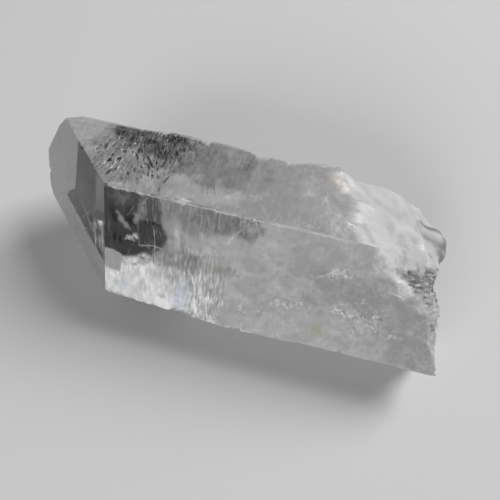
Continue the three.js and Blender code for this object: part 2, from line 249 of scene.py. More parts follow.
def mix_corners(value_at, i, j, a, b):
    """Blends the values at a cell's four corners, with a and b as the shares of its far sides."""
    near = value_at(i, j) * (1.0 - a) + value_at(i + 1, j) * a
    far = value_at(i, j + 1) * (1.0 - a) + value_at(i + 1, j + 1) * a
    return near * (1.0 - b) + far * b


def smooth_noise(u, v, seed):
    i = np.floor(u)
    j = np.floor(v)
    a = (u - i) ** 2 * (3.0 - 2.0 * (u - i))
    b = (v - j) ** 2 * (3.0 - 2.0 * (v - j))
    return mix_corners(lambda column, row: cell_value(column, row, seed), i, j, a, b)


def facet_relief(y, z, cell, rise, tilt, seed):
    """Splintered relief: the nearest of a scatter of points sets each place's height and tilt."""
    nearest = np.full(y.shape, np.inf)
    height = np.zeros(y.shape)
    i0 = np.floor(y / cell)
    j0 = np.floor(z / cell)
    for step_i in (-1, 0, 1):
        for step_j in (-1, 0, 1):
            i = i0 + step_i
            j = j0 + step_j
            dy = y - cell * (i + 0.5 + 0.45 * cell_value(i, j, seed))
            dz = z - cell * (j + 0.5 + 0.45 * cell_value(i, j, seed + 100))
            distance = dy * dy + dz * dz
            slope = dy * cell_value(i, j, seed + 300) + dz * cell_value(i, j, seed + 400)
            here = rise * cell_value(i, j, seed + 200) + tilt * slope
            height = np.where(distance < nearest, here, height)
            nearest = np.minimum(distance, nearest)
    return height


def fractal(u, v, seed):
    """Smooth noise with finer and finer parts, from about -1 to 1."""
    total = np.zeros(np.shape(u))
    for octave in range(4):
        scale = 2.0**octave
        total = total + smooth_noise(u * scale, v * scale, seed + 7 * octave) / scale
    return total / 1.6


def turned(u, v, turn):
    """The same place in directions that are turned by an angle."""
    return u * math.cos(turn) + v * math.sin(turn), v * math.cos(turn) - u * math.sin(turn)


def fall(value, start, end):
    """1 below start, 0 above end, with a smooth change between them."""
    t = np.clip((value - start) / (end - start), 0.0, 1.0)
    return 1.0 - t * t * (3.0 - 2.0 * t)


# ---- Relief maps ----


class ReliefMap:
    """How far one face is lowered, on a grid of the face's two directions."""

    def __init__(self, low, high):
        self.low = np.array(low, float)
        count = np.ceil((np.array(high) - self.low) / MAP_PITCH).astype(int) + 1
        u = self.low[0] + MAP_PITCH * np.arange(count[0])
        v = self.low[1] + MAP_PITCH * np.arange(count[1])
        self.u, self.v = np.meshgrid(u, v, indexing="ij")
        self.depth = np.zeros(self.u.shape)

    def at(self, u, v):
        i = np.clip((u - self.low[0]) / MAP_PITCH, 0, self.depth.shape[0] - 1.001)
        j = np.clip((v - self.low[1]) / MAP_PITCH, 0, self.depth.shape[1] - 1.001)
        i0 = i.astype(int)
        j0 = j.astype(int)
        return mix_corners(lambda column, row: self.depth[column, row], i0, j0, i - i0, j - j0)

    def window(self, u, v, reach):
        """The part of the map within reach of a point, as a pair of slices."""
        slices = []
        for value, low, size in zip((u, v), self.low, self.depth.shape):
            first = int(max((value - reach - low) / MAP_PITCH, 0))
            last = int(min((value + reach - low) / MAP_PITCH + 1, size))
            slices.append(slice(first, max(last, first)))
        return tuple(slices)

    def cut_grain(self, u, v, length, width, depth, slant):
        """A pit like a grain of rice: a lozenge whose sides slope down to its middle."""
        part = self.window(u, v, length)
        along, aside = turned(self.u[part] - u, self.v[part] - v, slant)
        self.depth[part] += depth * np.clip(1.0 - abs(along) / length - abs(aside) / width, 0.0, 1.0)

    def cut_trigon(self, u, v, radius):
        """A three-sided pit that points away from the tip."""
        part = self.window(u, v, 2.0 * radius)
        du, dv = self.u[part] - u, self.v[part] - v
        sides = [turned(du, dv, turn)[0] for turn in np.radians((60, 180, 300))]
        inside = np.clip(TRIGON_INNER * radius - np.maximum.reduce(sides), 0.0, None)
        self.depth[part] += TRIGON_SLOPE * np.minimum(inside, TRIGON_FLOOR * radius)

    def cut_groove(self, station, width, depth):
        """A stria: a groove right across the face that wanders a little and comes and goes."""
        part = self.window(station, 0.0, width + 1.5)[0]
        line = station + STRIAE_WANDER * smooth_noise(self.v[part] / 7.0, station, 9)
        fade = 0.5 + 0.5 * smooth_noise(self.v[part] / 3.0, station, 8)
        self.depth[part] += depth * fade * np.clip(1.0 - abs(self.u[part] - line) / width, 0, 1)


def step_down(past_edge):
    """How far a growth step's slope has come down to its floor."""
    return fall(past_edge, -STEP_SLOPE / 2, STEP_SLOPE / 2)


def surface_swell(relief, swell, seed):
    along, across, depth = swell
    return depth * (1.0 + smooth_noise(relief.u / along, relief.v / across, seed))


def prism_map(face):
    """Ledges, terraces and striae of one prism face, and the pits of the top face."""
    low = (PRISM_STATIONS[0], -PRISM_MARGIN)
    relief = ReliefMap(low, (PRISM_STATIONS[1], WIDTHS[face] + PRISM_MARGIN))
    u, v = relief.u, relief.v
    wander = STEP_WANDER * fractal(v / WANDER_CELLS[1], u / WANDER_CELLS[0], 80 + face)
    for ledge_face, start, end, first, last in LEDGES:
        if ledge_face == face:
            depth = first + (last - first) * (u - start) / (end - start)
            share = step_down(start - u - wander) * step_down(u + wander - end)
            relief.depth += share * np.clip(depth, 0.0, None)
    for terrace_face, start, end, low, high, depth, degrees in TERRACES:
        if terrace_face == face:
            offset = u - (start + end) / 2, v - (low + high) / 2
            along, aside = turned(*offset, math.radians(degrees))
            share = step_down(abs(along) + wander - (end - start) / 2)
            share = share * step_down(abs(aside) + wander - (high - low) / 2)
            relief.depth = np.maximum(relief.depth, depth * share)
    count, width, depth, seed = STRIAE[face]
    numbers = np.random.default_rng(seed)
    stations = numbers.uniform(*STRIAE_STATIONS, count)
    for station, size in zip(stations, numbers.uniform(*STRIAE_SIZES, count)):
        relief.cut_groove(station, width * size, depth * size)
    if face == 1:
        etch_grains(relief)
    relief.depth += surface_swell(relief, PRISM_SWELL, 60 + face)
    return relief


def etch_grains(relief):
    for start, end, low, high, count, length, width, depth, slants, seed in GRAINS:
        numbers = np.random.default_rng(seed)
        for _ in range(count):
            size = numbers.uniform(*GRAIN_SIZES)
            station = start + (end - start) * numbers.beta(*GRAIN_CROWDING)
            across = numbers.uniform(low, high)
            slant = math.radians(numbers.uniform(*slants))
            relief.cut_grain(station, across, length * size, width * size, depth * size, slant)


def tip_map(face):
    relief = ReliefMap((TIP_REACH[0], -TIP_MARGIN), (TIP_REACH[1], WIDTHS[face] + TIP_MARGIN))
    for trigon_face, along, across, radius in TRIGONS:
        if trigon_face == face:
            relief.cut_trigon(along, across, radius)
    relief.depth += surface_swell(relief, TIP_SWELL, 70 + face)
    return relief


def break_map():
    """Station of the broken surface over each point of the cross-section, as a map over Y and Z."""
    relief = ReliefMap(BREAK_LOW, BREAK_HIGH)
    y, z = relief.u, relief.v
    planes = [station - (out[1] * y + out[2] * z) / out[0] for station, out in BREAKS]
    x = np.minimum.reduce(planes)
    slope = fall(planes[0] - np.minimum(planes[1], planes[2]), *SLOPE_RIM)
    across_steps = turned(y, z, STEP_TURN)[0]
    splintered = (1.0 - fall(across_steps, *SPLINTERED[0])) * fall(across_steps, *SPLINTERED[1])
    milky = slope * (1.0 - splintered)
    for y0, z0, reach, rise in BREAK_SWELLS:
        x += rise * np.exp(-((y - y0) ** 2 + (z - z0) ** 2) / (2 * reach * reach))
    for y0, z0, radius, rise in BREAK_DOMES:
        nearness = 1 - ((y - y0) ** 2 + (z - z0) ** 2) / (radius * radius)
        x += rise * np.maximum(nearness, 0)
    worn = END_SMOOTHNESS + (MILKY_SMOOTHNESS - END_SMOOTHNESS) * milky
    for cell, rise, tilt, seed in BREAK_FACETS + FINE_FACETS:
        x += (1.0 - worn) * facet_relief(y, z, cell, rise, tilt, seed)
    cell, rise, seed = BREAK_NOISE
    x += rise * smooth_noise(y / cell, z / cell, seed)
    cell, shift, seed = STEP_JITTER
    rung = (across_steps + shift * smooth_noise(y / cell, z / cell, seed)) / STEP_SPACING
    x += STEP_RISE * splintered * (rung - np.floor(rung) - 0.5)
    down, level = slope_directions(y, z, BREAKS[0][1])
    for cell, rise, seed in MILKY_LUMPS:
        x += rise * milky * (abs(smooth_noise(down / cell, level / cell, seed)) - LUMP_MIDDLE)
    relief.depth = x
    return relief


def slope_directions(y, z, out):
    """Distances down and along a sloping plane, for points given by their Y and Z."""
    across, level = turned(y, z, math.atan2(out[2], out[1]))
    return across / out[0], level


PRISM_MAPS = {face: prism_map(face) for face in WALK}
TIP_MAPS = {face: tip_map(face) for face in TIP_STATIONS}
BREAK_MAP = break_map()


# ---- The field ----


def prism_place(points, face):
    """Station and distance across on a prism face."""
    return points[:, 0], (points - CORNERS[face]) @ across_face(face)


def tip_offset(points, face):
    return points - (CORNERS[face] + np.array([TIP_STATIONS[face], 0.0, 0.0]))


def tip_place(points, face):
    """Distances down and across on a tip face."""
    offset = tip_offset(points, face)
    return offset @ np.cross(across_face(face), tip_normal(face)), offset @ across_face(face)


def prism_field(points, face):
    flat = (points - CORNERS[face]) @ prism_normal(face)
    return flat + PRISM_MAPS[face].at(*prism_place(points, face))


def tip_field(points, face):
    flat = tip_offset(points, face) @ tip_normal(face)
    return flat + TIP_MAPS[face].at(*tip_place(points, face))


def break_field(points):
    return BREAK_STEEPNESS * (points[:, 0] - BREAK_MAP.at(points[:, 1], points[:, 2]))


def edge_profiles():
    """For each etched edge, how deep the bites reach along a line of stations."""
    profiles = []
    stations = np.arange(*PRISM_STATIONS, MAP_PITCH)
    for first, second, start, end, spacing, depth, rarity, seed in BITES:
        crumbled = fractal(stations / spacing, np.zeros_like(stations), seed) - rarity
        share = fall(start - stations, 0.0, BITE_FADE) * fall(stations - end, 0.0, BITE_FADE)
        profiles.append((first, second, depth * share * np.clip(crumbled, 0.0, BITE_LIMIT)))
    return stations, profiles


EDGE_STATIONS, EDGE_PROFILES = edge_profiles()


def rounded_maximum(a, b, reach):
    """The larger of two fields, with the edge where they meet rounded over that reach."""
    overlap = np.maximum(reach - abs(a - b), 0.0)
    return np.maximum(a, b) + overlap * overlap / (4.0 * reach)


def bite_field(points, sides):
    """The slanting faces that the bites cut along the etched edges."""
    value = np.full(len(points), -np.inf)
    cell, share, seed = BITE_UNEVENNESS
    noise_at = points[:, 0] / cell, (points[:, 1] + points[:, 2]) / cell
    uneven = 1.0 + share * smooth_noise(*noise_at, seed)
    for first, second, profile in EDGE_PROFILES:
        bite = np.interp(points[:, 0], EDGE_STATIONS, profile) * uneven
        chamfer = (sides[first] + sides[second]) / math.sqrt(3.0) + bite
        value = np.where(bite > SMALLEST_BITE, np.maximum(value, chamfer), value)
    return value


def lobe_field(points, at, along, length, width):
    """A rounded lobe: an ellipsoid that is longer in one direction."""
    direction = np.array(along) / np.linalg.norm(along)
    offset = points - np.array(at)
    lengthwise = offset @ direction
    sideways = np.sqrt(np.maximum((offset * offset).sum(axis=1) - lengthwise**2, 0.0))
    cell, share, seed = LOBE_SWELL
    swell = 1.0 + share * fractal(points[:, 1] / cell, points[:, 2] / cell, seed)
    return (np.hypot(lengthwise / length, sideways / width) - swell) * width


def crust_field(points, at, radius, stretch, seed):
    """A rough lump, stretched along X, Y and Z."""
    offset = (points - np.array(at)) / np.array(stretch)
    rough = fractal(offset[:, 0] + offset[:, 2], offset[:, 1] - offset[:, 2], seed)
    return (np.linalg.norm(offset, axis=1) - radius * (1 + CRUST_SWELL * rough)) * min(stretch)


def field(points):
    """Below zero inside the crystal, above zero outside, in millimetres near the surface."""
    sides = {face: prism_field(points, face) for face in WALK}
    value = np.maximum.reduce(list(sides.values()))
    value = np.maximum(value, bite_field(points, sides))
    for face in TIP_STATIONS:
        value = np.maximum(value, tip_field(points, face))
    for at, out in WORN_CORNERS:
        normal = np.array(out) / np.linalg.norm(out)
        value = np.maximum(value, (points - np.array(at)) @ normal)
    sharpest, added, *fade = BREAK_RIM
    rounding = sharpest + added * fall(-points[:, 2], *fade)
    value = rounded_maximum(value, break_field(points), rounding)
    for lobe in LOBES:
        value = -rounded_maximum(-value, -lobe_field(points, *lobe), LOBE_BLEND)
    for crust in CRUSTS:
        value = -rounded_maximum(-value, -crust_field(points, *crust), CRUST_BLEND)
    for at, radius in TIP_CHIPS:
        value = np.maximum(value, radius - np.linalg.norm(points - np.array(at), axis=1))
    return value


# ---- Meshing: dual contouring ----

SLAB = 12  # planes of the grid that are worked out at a time
FILL_ROUNDS = 20
JUST_INSIDE = -1e-3
HALVINGS = 7  # how often a grid edge is halved to find the surface on it
NORMAL_REACH = 0.06
STEADINESS = 0.03  # how strongly a vertex is held to the middle of its cell's crossings
SHARP_ANGLE = math.radians(22)


def grid_values(axes):
    """The field at every point of the grid, a few planes at a time to save memory."""
    shape = [len(axis) for axis in axes]
    values = np.empty(shape)
    y, z = np.meshgrid(axes[1], axes[2], indexing="ij")
    for first in range(0, shape[0], SLAB):
        x = axes[0][first : first + SLAB]
        points = np.empty((len(x), *y.shape, 3))
        points[..., 0] = x[:, None, None]
        points[..., 1] = y
        points[..., 2] = z
        values[first : first + SLAB] = field(points.reshape(-1, 3)).reshape(len(x), *y.shape)
    return values


def fill_checkers(values):
    """Fills grid points until no cell side has its inside corners on one diagonal only."""
    for _ in range(FILL_ROUNDS):
        changed = 0
        for axis in range(3):
            first, second = [i for i in range(3) if i != axis]
            moved = np.moveaxis(values, (axis, first, second), (0, 1, 2))
            a, b = moved[:, :-1, :-1], moved[:, 1:, 1:]
            c, d = moved[:, :-1, 1:], moved[:, 1:, :-1]
            for inner, outer in (((a, b), (c, d)), ((c, d), (a, b))):
                checker = (inner[0] < 0) & (inner[1] < 0) & (outer[0] >= 0) & (outer[1] >= 0)
                changed += int(checker.sum())
                outer[0][checker] = JUST_INSIDE
        if changed == 0:
            return


def grid_points(axes, index):
    """Where the grid points are that are called by these three-part numbers."""
    return np.stack([planes[column] for planes, column in zip(axes, index.T)], axis=1)


def crossings(values, axes, axis):
    """Grid edges along one axis that pass through the surface: where, and which end is inside."""
    moved = np.moveaxis(values, axis, 0)
    sign_change = np.moveaxis((moved[:-1] < 0) != (moved[1:] < 0), 0, axis)
    index = np.argwhere(sign_change)
    step = np.zeros(3, int)
    step[axis] = 1
    start, end = grid_points(axes, index), grid_points(axes, index + step)
    starts_inside = values[tuple(index.T)] < 0
    inner = np.where(starts_inside[:, None], start, end)
    outer = np.where(starts_inside[:, None], end, start)
    for _ in range(HALVINGS):
        middle = (inner + outer) / 2
        inside = (field(middle) < 0)[:, None]
        inner = np.where(inside, middle, inner)
        outer = np.where(inside, outer, middle)
    return index, (inner + outer) / 2, starts_inside


def field_normals(points):
    slopes = []
    for axis in range(3):
        step = np.zeros(3)
        step[axis] = NORMAL_REACH
        slopes.append(field(points + step) - field(points - step))
    normals = np.stack(slopes, axis=1)
    length = np.linalg.norm(normals, axis=1, keepdims=True)
    return normals / np.maximum(length, 1e-9)


def grid_axes(coarseness):
    """The meshing grid's planes in X, Y and Z, closer together where the surface is busier."""
    stations = []
    for (start, cell), (end, _) in zip(STATION_CELLS, STATION_CELLS[1:]):
        stations.append(np.arange(start, end - 0.3 * cell, cell * coarseness))
    section = [
        np.arange(low, high, SECTION_CELL * coarseness)
        for low, high in zip(SECTION_LOW, SECTION_HIGH)
    ]
    return [np.concatenate(stations), *section]


def contour(axes):
    """The field's surface as vertices and quads, with one vertex in each cell that it crosses."""
    values = grid_values(axes)
    fill_checkers(values)
    shape = np.array(values.shape)
    quads, cell_rows, normals, spots = [], [], [], []
    for axis in range(3):
        index, spot, starts_inside = crossings(values, axes, axis)
        normal = field_normals(spot)
        back = [np.zeros(3, int), np.zeros(3, int)]
        back[0][(axis + 1) % 3] = 1
        back[1][(axis + 2) % 3] = 1
        ring = [index - back[0] - back[1], index - back[1], index, index - back[0]]
        cells = np.stack([np.ravel_multi_index(tuple(c.T), shape) for c in ring], axis=1)
        quads.append(np.where(starts_inside[:, None], cells, cells[:, ::-1]))
        for ring_cells in cells.T:
            cell_rows.append(ring_cells)
            normals.append(normal)
            spots.append(spot)
    used, rows = np.unique(np.concatenate(cell_rows), return_inverse=True)
    vertices = place_vertices(rows, len(used), np.concatenate(normals), np.concatenate(spots))
    corner = np.stack(np.unravel_index(used, shape), axis=1)
    vertices = np.clip(vertices, grid_points(axes, corner), grid_points(axes, corner + 1))
    return vertices, np.searchsorted(used, np.concatenate(quads))


def place_vertices(rows, count, normals, spots):
    """In each cell, the point that lies best on the planes where the surface crosses its edges."""

    def total(values):
        return np.bincount(rows, values, minlength=count)

    crossed = np.bincount(rows, minlength=count)
    middle = np.stack([total(spots[:, i]) / crossed for i in range(3)], axis=1)
    pull = np.einsum("ij,ij->i", normals, spots - middle[rows])
    square = np.zeros((count, 3, 3))
    right = np.zeros((count, 3))
    for i in range(3):
        right[:, i] = total(normals[:, i] * pull)
        for j in range(3):
            square[:, i, j] = total(normals[:, i] * normals[:, j])
    steady = STEADINESS * np.trace(square, axis1=1, axis2=2)[:, None, None] * np.eye(3)
    shift = np.linalg.solve(square + steady, right[..., None])[..., 0]
    return middle + shift


def build_mesh(name, vertices, quads):
    mesh = bpy.data.meshes.new(name)
    mesh.vertices.add(len(vertices))
    mesh.vertices.foreach_set("co", vertices.astype(np.float32).ravel())
    mesh.loops.add(4 * len(quads))
    mesh.loops.foreach_set("vertex_index", quads.astype(np.int32).ravel())
    mesh.polygons.add(len(quads))
    mesh.polygons.foreach_set("loop_start", np.arange(0, 4 * len(quads), 4, dtype=np.int32))
    mesh.update(calc_edges=True)
    mesh.validate()
    mesh.shade_smooth()
    mesh.set_sharp_from_angle(angle=SHARP_ANGLE)
    return mesh


def add_object(name, data):
    added = bpy.data.objects.new(name, data)
    bpy.context.scene.collection.objects.link(added)
    return added


def build_crystal(origin):
    vertices, quads = contour(grid_axes(1.0))
    mesh = build_mesh("crystal", vertices, quads)
    paint_masks(mesh, vertices)
    mesh.transform(Matrix.Translation(origin) @ Matrix.Scale(MM, 4))
    return add_object("crystal", mesh)


# ---- Where the stone is clouded, pale, frosted or stained, and where light and shade are painted ----

# Cloud is how far light is stopped at the surface, from 0 for clear glass to 1 for chalk, tone is
# how pale the cloud is, and sparkle how broken up it is: how strong its uneven tone, its bumps and
# its painted glints are. Each patch is a ragged ellipse that brings all three to its own values:
# station, across, half length, half width, turn in degrees, width of its soft rim, cloud, tone,
# sparkle. On the broken surface the first two are Y and Z. Some patches paint light and shade into
# the tone, as their notes say.
LOOKS = ("cloud", "tone", "sparkle")
BODY_LOOK = (0.82, 0.46, 0.05)
CLEAR_CLOUD = 0.03  # the body's cloud towards the tip
CLOUDING = (6.0, 19.0)  # stations between which the body turns cloudy
CLOUDING_DRIFT = (2.5, 5.0, 90)  # how far that change strays, cell, seed
BREAK_LOOK = (1.0, 0.52, 0.0)
BRUISE_LOOK = (0.85, 0.32)  # cloud and tone where an edge is bitten away
BRUISE_RIM = (-0.12, 0.02)
PATCHES = {
    "prism 2": [
        (24, 8.5, 9, 5, 0, 2, 0.9, 0.5, 0.06),
        (34, 18, 15, 5, -4, 2, 0.94, 0.5, 0.06),
        (13, 1.8, 5.5, 3, 0, 1.2, 0.85, 0.2, 0.2),  # painted shade: dark strip under the ridge, where the stone looks through to shadow, with the next two
        (20, 1.6, 5, 2.6, 6, 1.2, 0.85, 0.15, 0.2),
        (24.8, 1.2, 1.6, 1.4, 8, 1.5, 0.85, 0.17, 0.3),
        (6, 18, 10.5, 5.4, 0, 1.4, 0.95, 0.84, 0.3),  # bright ground by the lower edge: white fractures, brightened by painted light that they catch
        (17, 17, 4.5, 6, 0, 2, 0.9, 0.52, 0.55),
        (14.4, 10.8, 4.2, 1.5, -12, 0.9, 0.6, 0.2, 0.8),  # dark strip under the window
        (20.3, 11.2, 2.2, 0.8, -12, 0.8, 0.75, 0.3, 0.5),
        (3, 5.3, 7, 7.6, 0, 0.4, 0.02, 0.1, 0.3),  # clear window
        (8, 3.2, 2.4, 4.6, 0, 0.4, 0.02, 0.1, 0.3),
        (9.2, 7.6, 2, 2.8, 10, 0.4, 0.03, 0.1, 0.3),
        (3.2, 6.1, 0.45, 1.3, -35, 0.3, 0.4, 0.34, 0),  # wisps inside it
        (5.9, 4.9, 0.5, 1, 20, 0.3, 0.4, 0.34, 0),
        (4.8, 9.1, 0.8, 0.4, -18, 0.25, 0.7, 0.55, 0),
        (5.7, 8.5, 0.5, 0.5, 0, 0.25, 0.75, 0.6, 0),
        (6.7, 2.4, 0.4, 1.5, 0, 0.3, 0.3, 0.3, 0),
        (2.6, 1.9, 1.5, 0.9, 10, 0.7, 0.12, 0.2, 0),
        (1.3, 14.4, 1.9, 2, 8, 0.1, 0.8, 0.42, 0),  # painted reflection: an even grey patch
        (11.5, 21.6, 1.7, 1.5, 0, 0.25, 0.97, 1, 0.2),  # brightest flake
        # Painted glint: this pale patch is the bluish-white glint that the blue tint colours.
        (14.4, 19, 1.6, 3.4, 0, 0.6, 0.93, 0.72, 0.2),
        (33, 14.2, 2.6, 0.7, -12, 0.4, 0.94, 0.56, 0.5),  # flecks
        (25.6, 18.2, 0.5, 2.4, -8, 0.3, 0.94, 0.52, 0.6),
        (28.6, 17.2, 0.5, 1.4, -14, 0.3, 0.94, 0.52, 0.6),
        (45, 11.6, 0.9, 2.2, -24, 0.4, 0.94, 0.46, 0.6),
        (47.8, 12.4, 1.5, 0.6, 14, 0.4, 0.94, 0.46, 0.6),
        (42.4, 13.3, 1.6, 0.6, 12, 0.4, 0.94, 0.46, 0.6),
        (39, 6.9, 2.8, 0.9, -20, 0.5, 0.94, 0.46, 0.5),
        (42, 9.5, 8, 2.6, -6, 1.6, 0.86, 0.34, 0.1),
        (50, 5, 8.5, 1.5, 52, 0.5, 0.97, 0.62, 0.15),  # pale band beside the break
        (46.6, 1.4, 1.6, 2.6, 10, 0.5, 0.97, 0.6, 0.2),
        (56, 15, 5, 7.5, 0, 2.5, 0.9, 0.35, 0.1),
        (44.9, 16.4, 1, 1.8, -20, 0.5, 0.94, 0.46, 0.35),  # flecks towards the root's corner
        (48.4, 14.8, 1.9, 0.8, 24, 0.5, 0.94, 0.44, 0.3),
        (51.2, 15.9, 1, 0.6, 10, 0.5, 0.94, 0.43, 0.25),
    ],
    "prism 1": [
        (20, 6, 60, 30, 0, 1, 0.92, 0.28, 0.05),
        (13.5, 5, 9.5, 6, 0, 2.5, 0.88, 0.13, 0.1),
        (-8, 4.5, 6, 6.8, 0, 2, 0.88, 0.34, 0.08),  # mottled tip
        (1.8, 7, 6.6, 5.4, 0, 1.5, 0.9, 0.19, 0.15),  # under the grain pits
        (4.6, 2.4, 6.2, 3.6, 8, 1, 0.95, 0.01, 0.08),  # dark patch by the back edge
        (15.5, 11.2, 7, 2.4, 4, 1.4, 0.92, 0.37, 0.05),  # paler ground behind the ridge
        (41, 6, 9, 9, 0, 4, 0.96, 0.35, 0.05),
        (45, 2, 6.5, 14, -8, 2.4, 0.98, 0.44, 0),  # turning into the milky root
        (35.5, 1.6, 4, 2.6, 0, 1, 0.9, 0.33, 0.1),  # the crust
    ],
    "tip 2": [
        (12, 6, 40, 40, 0, 1, 0.02, 0.1, 0.1),  # the big tip face is clear
        (60.3, -8.5, 50, 70, -12.6, 0.12, 0.6, 0.13, 0),  # painted reflection: even band towards the tip
        (10.4, 8.6, 6.3, 3, 35, 0.12, 0.02, 0.1, 0.1),  # clear notch in it
        (29, 58.7, 70, 50, -19.8, 0.12, 0.6, 0.15, 0),  # painted reflection: band along the lower edge
    ],
    "tip 3": [(10, 5, 30, 30, 0, 2, 0.4, 0.34, 0.1)],
    "tip 4": [(10, 12, 30, 30, 0, 2, 0.3, 0.34, 0.1)],
    "tip 5": [
        (10, 5, 30, 30, 0, 2, 0.3, 0.4, 0.1),
        (9, 2, 7, 4, 30, 1.5, 0.75, 0.42, 0.3),
    ],
    "tip 6": [
        (10, 11, 30, 30, 0, 2, 0.4, 0.4, 0.1),
        (4, 14, 6, 5, -20, 1.8, 0.8, 0.42, 0.3),
    ],
    "prism 6": [(-8, 11, 16, 16, 0, 3, 0.6, 0.4, 0.1)],
    "break": [
        (1, -10.5, 2.6, 9, 36.9, 0.8, 1, 0.14, 0.3),  # painted shade: the splintered hollow darkened
        (-6, -17, 6.5, 11, 0, 1.5, 0.95, 0.36, 0.2),
        (1.7, -4.4, 2.4, 0.5, -20, 0.6, 1, 0.36, 0.1),  # painted shade: the groove above it darkened
        (16, -20.5, 3.6, 4.6, 0, 1.8, 1, 0.19, 0),  # greyer knob
        (9.1, -11.1, 1, 2, 20, 0.6, 1, 0.72, 0.3),  # painted highlight: the brightest rib
        (10.1, -14.9, 0.35, 0.4, 0, 0.15, 1, 0.12, 0),  # painted shade: a dark hole
    ],
}
RAGGEDNESS = 1.8  # of a patch's rim, as a share of the rim's width
FIRM_RIM = 0.2  # a patch with a narrower rim than this is nearly a box
BOX_POWER = 6.0
ELLIPSE_POWER = 2.4  # 2 would be a true ellipse
# Etch pits drawn at a fine scale, their darkness painted shade: face, station, across, half
# length, half width.
GRAIN_FIELDS = [("prism 1", 2.6, 7.0, 5.6, 4.4), ("prism 1", 7.6, 3.0, 3.6, 2.6)]

# Fine fractures, veils and bruised edges that show as lines, and painted highlights along the lower
# edge and, in part, the ridge: half width, strength, and points as station and across. A negative
# strength is a dark line.
STROKES = {
    "prism 2": [
        (0.12, 0.5, (8.9, 6.4), (9.4, 12.6)),
        (0.14, 0.45, (6.4, 10.2), (9, 9.6), (11.5, 9.9)),
        (0.12, 0.3, (7.2, 1), (7.6, 5.4)),
        (0.12, 0.25, (8.4, 0.9), (8.8, 4.6)),
        (0.12, 0.5, (11.2, 6.2), (11.8, 9.4)),
        (0.12, -0.6, (12, 6), (12.6, 9.4)),
        (0.12, 0.5, (12.9, 5.8), (13.6, 9.2)),
        (0.12, -0.6, (13.6, 6), (14.3, 9.2)),
        (0.12, 0.4, (14.6, 5.6), (15.4, 9.2)),
        # Bright fractures near the lower edge, their brightness partly painted light that they catch.
        (0.18, 1, (16.2, 14), (16.9, 17), (17.2, 21.8)),
        (0.12, 0.9, (17.9, 15.5), (18, 19)),
        (0.2, 0.9, (14.4, 15.6), (14.9, 17.4)),
        (0.14, 0.9, (19, 17.5), (19.4, 21.6)),
        (0.14, 0.6, (13.2, 12.2), (13.8, 14.4)),
        (0.12, 0.5, (21.7, 5.5), (23, 3.4), (25, 0.7)),
        (0.16, 0.5, (36.4, 8), (38.6, 6.6), (39.7, 5.3), (41.2, 6.6)),
        (0.16, 0.7, (49.4, 7.5), (50.2, 7.7)),
        (0.18, 0.6, (0.5, 0.25), (26, 0.25)),  # the ridge's bruised edge, partly a painted highlight along the ridge
        # The ridge's bruised edge goes on, partly a painted highlight.
        (0.14, 0.4, (29, 0.2), (40, 0.2)),
        (0.14, 0.5, (6, 22.8), (59, 22.7)),  # painted highlight: thin bright lower edge
    ],
    "prism 1": [
        (0.18, 0.5, (-8, 0.3), (34, 0.3)),
        (0.2, -0.8, (9.7, 9.4), (9, 11.4), (9.3, 13)),  # curved dark crack
        (0.12, -0.5, (15.2, 8.4), (15.8, 10.2)),
        (0.12, -0.5, (16.2, 8.6), (16.8, 10.4)),
        (0.12, -0.5, (17.2, 8.8), (17.9, 10.2)),
        (0.25, 0.7, (13.2, 12.7), (14.8, 13)),
        (0.18, 0.3, (37, 10.8), (37.7, 12.6)),
        (0.18, 0.3, (38.4, 10.8), (37.9, 12.6)),
        (0.16, 0.7, (39.5, 9.9), (40.1, 10.1)),
    ],
    "tip 2": [
        (0.14, 0.3, (9, 8), (5, 12)),
        (0.12, 0.25, (7, 8.6), (3.4, 12.4)),
        (0.12, 0.25, (4.6, 7), (1.6, 10.6)),
    ],
}
LINE_WEIGHT = 1.5  # how much wider than listed the lines are drawn
LINE_REACH = 0.9  # how far from a line its side is marked, before that widening
NO_LINE = 9.0  # the side of points with no line near
LINE_WOBBLE = (0.2, 1.5)  # shift, cell
# Short strokes strewn over a face: stations, across, count, half width, strength, how far their
# directions spread in degrees, seed.
STREWN = {
    "prism 2": [
        (12, 22, 12, 22.5, 44, 0.13, 0.8, 8, 61),
        (0.5, 12, 14, 22.5, 16, 0.14, 0.5, 30, 62),
        (25, 58, 2, 21.5, 22, 0.14, 0.2, 60, 63),
        (0.6, 10.5, 1.5, 12, 14, 0.12, 0.25, 12, 64),
    ],
    "prism 1": [
        (2, 11, 0.8, 5, 26, 0.14, -0.7, 8, 65),
        (10, 40, 1, 12.4, 22, 0.14, 0.2, 14, 66),
    ],
    "prism 3": [(-3, 56, 1, 9.6, 20, 0.14, 0.25, 12, 67)],
    "prism 5": [(-3, 56, 1, 9.6, 20, 0.14, 0.25, 12, 68)],
    "prism 6": [(-3, 46, 1, 21.5, 30, 0.14, 0.25, 12, 69)],
    "tip 2": [(1, 11, 4, 16, 14, 0.1, 0.25, 10, 70)],
}
STREWN_REACH = (0.3, 1.1)  # half the length of a strewn stroke
STREWN_FAINTNESS = (0.3, 1.0)  # share of the listed strength
STAIN_AND_GLINT_RIM = 0.5
GRAIN_RIM = 1.2
